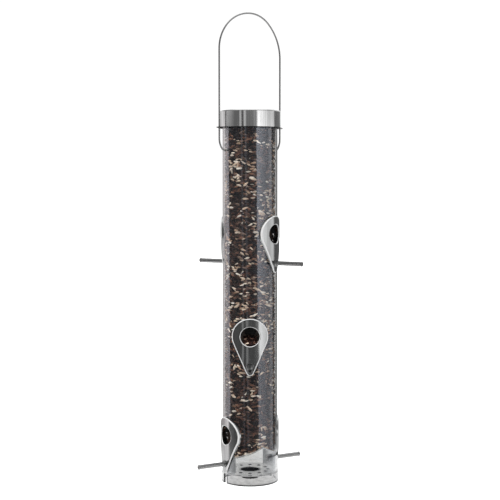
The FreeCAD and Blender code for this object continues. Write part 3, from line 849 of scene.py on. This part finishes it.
def lay_on_top(rng, seeds):
    """The seeds' level surface under the lid."""
    for _ in range(TOP_SEEDS):
        kind = pick_kind(rng, (rng.random(), 0, PALE_FADE_Z))
        length, width, thickness = seed_size(rng, kind, TOP_SEED_SIZES)
        radius = (TUBE_INNER_R - length * 0.55) * math.sqrt(rng.random())
        azimuth = rng.uniform(0, 360)
        place = outward(azimuth) * radius
        place.z = SEED_TOP - thickness / 2 - rng.uniform(*TOP_DEPTHS)
        yaw = rng.uniform(0, 2 * math.pi)
        along = Vector((math.cos(yaw), math.sin(yaw), rng.gauss(0, 0.2)))
        normal = Vector((rng.gauss(0, 0.25), rng.gauss(0, 0.25), 1))
        seeds[kind].append((place, basis(along, normal), (length, width, thickness)))


SEED_BEND = 0.12           # share of its length by which a seed may be bent
GRAIN_LENGTH = 2.0
GRAIN_SPREAD = 40.0
BAKE_PAD = 0.06            # of a seed's cell in the texture map


def bake_places(count, corners):
    """Texture coordinates of all the face corners, with a cell of the map for each seed."""
    cells = math.ceil(math.sqrt(count))
    inner = 1 - 2 * BAKE_PAD
    uvs = []
    for index in range(count):
        column = index % cells
        row = index // cells
        for face in corners:
            for u, v in face:
                uvs.append((column + BAKE_PAD + inner * u) / cells)
                uvs.append((row + BAKE_PAD + inner * v) / cells)
    return uvs


def merge_seeds(rng, name, places):
    """One mesh of all the seeds of a kind, with a tone and a grain for each."""
    unit = seed_shape(KINDS[name][4])
    faces, corners = seed_faces()
    points = []
    tones = []
    grains = []
    polygons = []
    for index, (place, turn, size) in enumerate(places):
        local = unit * np.array(size)
        bend = rng.uniform(-SEED_BEND, SEED_BEND)
        local[:, 2] += bend * size[0] * (unit[:, 0] ** 2 * 4 - 0.5) * 0.5
        points.append(local @ np.array(turn).T + np.array(place))
        tones.append(np.full(len(unit), rng.random()))
        offset = np.array([rng.uniform(0, GRAIN_SPREAD) for _ in range(3)])
        grains.append(unit * GRAIN_LENGTH + offset)
        base = index * len(unit)
        polygons.extend([tuple(base + v for v in face) for face in faces])
    mesh = bpy.data.meshes.new(name)
    mesh.from_pydata(np.concatenate(points).tolist(), [], polygons)
    mesh.uv_layers.new(name="OFBake").data.foreach_set("uv", bake_places(len(places), corners))
    tone = mesh.attributes.new("tone", "FLOAT", "POINT")
    tone.data.foreach_set("value", np.concatenate(tones))
    grain = mesh.attributes.new("grain", "FLOAT_VECTOR", "POINT")
    grain.data.foreach_set("vector", np.concatenate(grains).ravel())
    mesh.polygons.foreach_set("use_smooth", [True] * len(mesh.polygons))
    mesh.update()
    return mesh


def show(name, mesh, material, body, slot, *stands_for):
    """Adds a mesh as a piece of the object."""
    piece = bpy.data.objects.new(name, mesh)
    bpy.context.scene.collection.objects.link(piece)
    mesh.materials.append(material)
    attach(piece, body)
    if stands_for:
        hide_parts(*stands_for)


BED_COLUMNS = 144
BED_ROWS = 250
BED_RINGS = 10             # of each end
BED_R = 26.3 * MM
BED_BASE_GAP = 1.0 * MM    # above the deflector's roof
BED_TOP_Z = SEED_TOP - 3.0 * MM
BED_BUMP = 0.9 * MM
BED_BUMP_SCALE = 420.0     # per metre
BED_TOP_BUMP = 0.8 * MM
BED_TOP_BUMP_SCALE = 300.0
RECESS_GAP = 0.4 * MM      # the recess behind a feed hole is this much narrower than the hood
RECESS_R = 8.0 * MM        # distance of its back from the tube's axis
RECESS_DROP = 1.0 * MM     # from the feed hole's centre down to the slope's top
SLOPE_DROP = 11.0 * MM     # and down to its foot
SLOPE_FOOT_R = 25.0 * MM
SLOPE_RUN = 16.0 * MM


def bed_depth(azimuth, height):
    """Distance of the inner seeds' surface from the axis; it runs in behind each feed hole."""
    for port_azimuth, port_z in PORTS:
        across = turn_from(azimuth, port_azimuth) * BED_R
        level = height - port_z
        if math.hypot(across, level) > HOOD_R - RECESS_GAP:
            continue
        if level > -RECESS_DROP:
            return RECESS_R
        into = (level + SLOPE_DROP) / (SLOPE_DROP - RECESS_DROP)
        return SLOPE_FOOT_R - max(0.0, into) * SLOPE_RUN
    return BED_R


def bed_base(place):
    """Height of the bed's lower face."""
    return roof_height(place.x, place.y) + BED_BASE_GAP


def bed_top(place):
    """Height of the bed's upper face."""
    return BED_TOP_Z + noise.noise(place * BED_TOP_BUMP_SCALE) * BED_TOP_BUMP


def add_bed_side(points, faces):
    """The bed's side, up from the roof, ring by ring."""
    for row in range(BED_ROWS + 1):
        for column in range(BED_COLUMNS):
            azimuth = 360.0 * column / BED_COLUMNS
            out = outward(azimuth)
            low = bed_base(out * BED_R)
            z = low + (BED_TOP_Z - low) * row / BED_ROWS
            here = out * bed_depth(azimuth, z)
            here.z = z
            bump = noise.noise(here * BED_BUMP_SCALE)
            points.append(tuple(here + out * bump * BED_BUMP))
    for row in range(BED_ROWS):
        for column in range(BED_COLUMNS):
            after = (column + 1) % BED_COLUMNS
            low = row * BED_COLUMNS
            high = low + BED_COLUMNS
            faces.append((low + column, low + after, high + after, high + column))


def add_bed_end(points, faces, row, height_at, centre_z, order):
    """A face that closes the bed inwards from a row of its side; order turns its faces outwards."""
    before = row * BED_COLUMNS
    for ring in range(1, BED_RINGS):
        start = len(points)
        for column in range(BED_COLUMNS):
            here = outward(360.0 * column / BED_COLUMNS) * BED_R * (1 - ring / BED_RINGS)
            here.z = height_at(here)
            points.append(tuple(here))
        for column in range(BED_COLUMNS):
            after = (column + 1) % BED_COLUMNS
            quad = (before + column, before + after, start + after, start + column)
            faces.append(quad[::order])
        before = start
    centre = len(points)
    points.append((0.0, 0.0, centre_z))
    for column in range(BED_COLUMNS):
        after = (column + 1) % BED_COLUMNS
        faces.append((before + column, before + after, centre)[::order])


def make_seed_bed():
    """The mass of seeds behind those that show, as one dark bumpy body whose dark colour is painted shade in
    the gaps between the seeds.
    """
    points = []
    faces = []
    add_bed_side(points, faces)
    add_bed_end(points, faces, 0, bed_base, ROOF_RIDGE_Z + BED_BASE_GAP, -1)
    add_bed_end(points, faces, BED_ROWS, bed_top, BED_TOP_Z, 1)
    mesh = bpy.data.meshes.new("seed_bed")
    mesh.from_pydata(points, [], faces)
    mesh.polygons.foreach_set("use_smooth", [True] * len(mesh.polygons))
    mesh.update()
    return mesh


BED_CELLS = (260, 260, 620)
BED_SHADE_TONES = [(0.35, (0.006, 0.004, 0.003)), (0.6, (0.03, 0.02, 0.015)), (0.8, (0.12, 0.08, 0.055))]


def bed_shade_material():
    """Seeds deep in the tube: partly dark seeds, partly painted shade in the gaps between the seeds that
    show.
    """
    material, n = new_material("seed_bed_painted_shade")
    place = n.add("ShaderNodeTexCoord").outputs["Object"]
    cells = n.noise(place, BED_CELLS, 3.0, 0.6)
    colour = n.ramp(cells, BED_SHADE_TONES)
    inputs = {
        "Base Color": colour,
        "Roughness": n.spread(cells, 0.5, 0.7),
        "Normal": n.bump(cells, 0.001, 0.8),
    }
    finish_material(n, n.add("ShaderNodeBsdfPrincipled", inputs).outputs[0])
    return material


BLACK_HUSK = [
    (0.0, (0.008, 0.0028, 0.0022)), (0.6, (0.026, 0.0095, 0.0065)), (0.88, (0.065, 0.030, 0.021)),
    (1.0, (0.30, 0.21, 0.16)),
]
BROWN_HUSK = [(0.0, (0.042, 0.0165, 0.010)), (0.55, (0.115, 0.050, 0.030)), (1.0, (0.29, 0.155, 0.098))]
PALE_HUSK = [(0.0, (0.46, 0.30, 0.205)), (0.5, (0.80, 0.63, 0.48)), (1.0, (0.98, 0.92, 0.84))]


def make_seeds():
    """The seeds that show, one mesh for each kind, and the body behind them, painted dark as shade."""
    rng = random.Random(11)
    seeds = {name: [] for name in KINDS}
    for depth, tries, slack in WALL_LAYERS:
        lay_on_wall(rng, seeds, depth, tries, slack)
    lay_in_ports(rng, seeds)
    lay_on_roof(rng, seeds)
    lay_on_top(rng, seeds)
    materials = {
        "seeds_black": husk("husk_black", BLACK_HUSK, 0.7, 0.26, 0.55),
        "seeds_brown": husk("husk_brown", BROWN_HUSK, 0.5, 0.38, 0.4),
        "seeds_pale": husk("husk_pale", PALE_HUSK, 0.3, 0.42, 0.4),
    }
    for name, places in seeds.items():
        mesh = merge_seeds(rng, name, places)
        show(name, mesh, materials[name], "tube_body", "seeds", "seed_fill")
    show("seed_bed", make_seed_bed(), bed_shade_material(), "tube_body", "seeds", "seed_fill")


# --- lights, camera, floor ---------------------------------------------------
def area_light(name, place, target, size, power):
    """A soft rectangular light that isn't seen, itself or in reflections."""
    data = bpy.data.lights.new(name, "AREA")
    data.shape = "RECTANGLE"
    data.size, data.size_y = size
    data.energy = power
    light = bpy.data.objects.new(name, data)
    light.location = place
    light.rotation_euler = (Vector(target) - Vector(place)).to_track_quat("-Z", "Y").to_euler()
    light.visible_camera = False
    light.visible_glossy = False
    light.visible_transmission = False
    bpy.context.scene.collection.objects.link(light)


def make_camera():
    """A camera in front of the feeder, tipped down a little."""
    data = bpy.data.cameras.new("camera")
    data.lens = CAMERA_LENS
    data.sensor_width = SENSOR_WIDTH
    data.clip_end = 50.0
    camera = bpy.data.objects.new("camera", data)
    camera.location = (0, -CAMERA_DISTANCE, CAMERA_HEIGHT)
    camera.rotation_euler = (math.radians(90 - CAMERA_PITCH), 0, 0)
    bpy.context.scene.collection.objects.link(camera)
    bpy.context.scene.camera = camera


def make_floor():
    """The white sweep that the feeder stands on."""
    half = FLOOR_SIZE / 2
    mesh = bpy.data.meshes.new("floor")
    corners = [(-half, -half, 0), (half, -half, 0), (half, half, 0), (-half, half, 0)]
    mesh.from_pydata(corners, [], [(0, 1, 2, 3)])
    mesh.materials.append(floor_material())
    floor = bpy.data.objects.new("floor", mesh)
    floor.visible_glossy = False
    floor.visible_transmission = False
    bpy.context.scene.collection.objects.link(floor)


def paint_nodes():
    """Gives every CAD node that shows its own finish."""
    finishes = {
        "feeder_tube": clear_plastic(),
        "base_cup": cup_plastic(),
        "base_socket": black_plastic("black_plastic_socket", specular=0.03, rough=0.7),
        "port_hood": black_plastic("black_plastic_moulded", specular=0.12, rough=0.6),
        # The plates' edges carry a painted highlight.
        "port_plate": brushed_metal(
            "steel_brushed_plate", (0.42, 0.425, 0.425), rough=0.12, grain=(1500, 1500, 40), depth=0.00001,
            contrast=0.14, mask=plate_rim_highlight, patch=RIM_HIGHLIGHT_FINISH),
        # The perches' tops carry painted shade.
        "perch_": brushed_metal(
            "steel_drawn_perch", grey(0.36), rough=0.24, grain=(500, 500, 1800), depth=0.00001,
            mask=perch_top_shade, patch=PERCH_TOP_SHADE_FINISH),
        "lid_shell": brushed_metal(
            "steel_brushed_lid", grey(0.62), rough=0.09, grain=(1500, 1500, 18), depth=0.00002, contrast=0.2),
        # The ear plate's dark tone is painted shade.
        "lid_ear_plate": brushed_metal(
            "steel_ear_painted_shade", grey(0.05), rough=0.12, grain=(900, 900, 900), depth=0.00001),
        "bail_wire": brushed_metal(
            "steel_wire", grey(0.34), rough=0.22, grain=(900, 900, 120), depth=0.00001),
        "seed_deflector": brushed_metal(
            "steel_sheet", (0.88, 0.89, 0.90), rough=0.30, grain=(200, 1400, 1400), depth=0.00001,
            metallic=0.75),
    }
    for name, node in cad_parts.items():
        for start, material in finishes.items():
            if name.startswith(start):
                node.material_slots[0].material = material


def main():
    """Builds everything round the CAD model."""
    scene = bpy.context.scene
    scene.view_settings.view_transform = "Standard"
    make_camera()
    make_world()
    make_floor()
    area_light("top_soft", place=(0.0, -0.3, 1.6), target=(0, 0, 0.2), size=(1.2, 1.2), power=14.0)
    paint_nodes()
    make_seeds()


main()
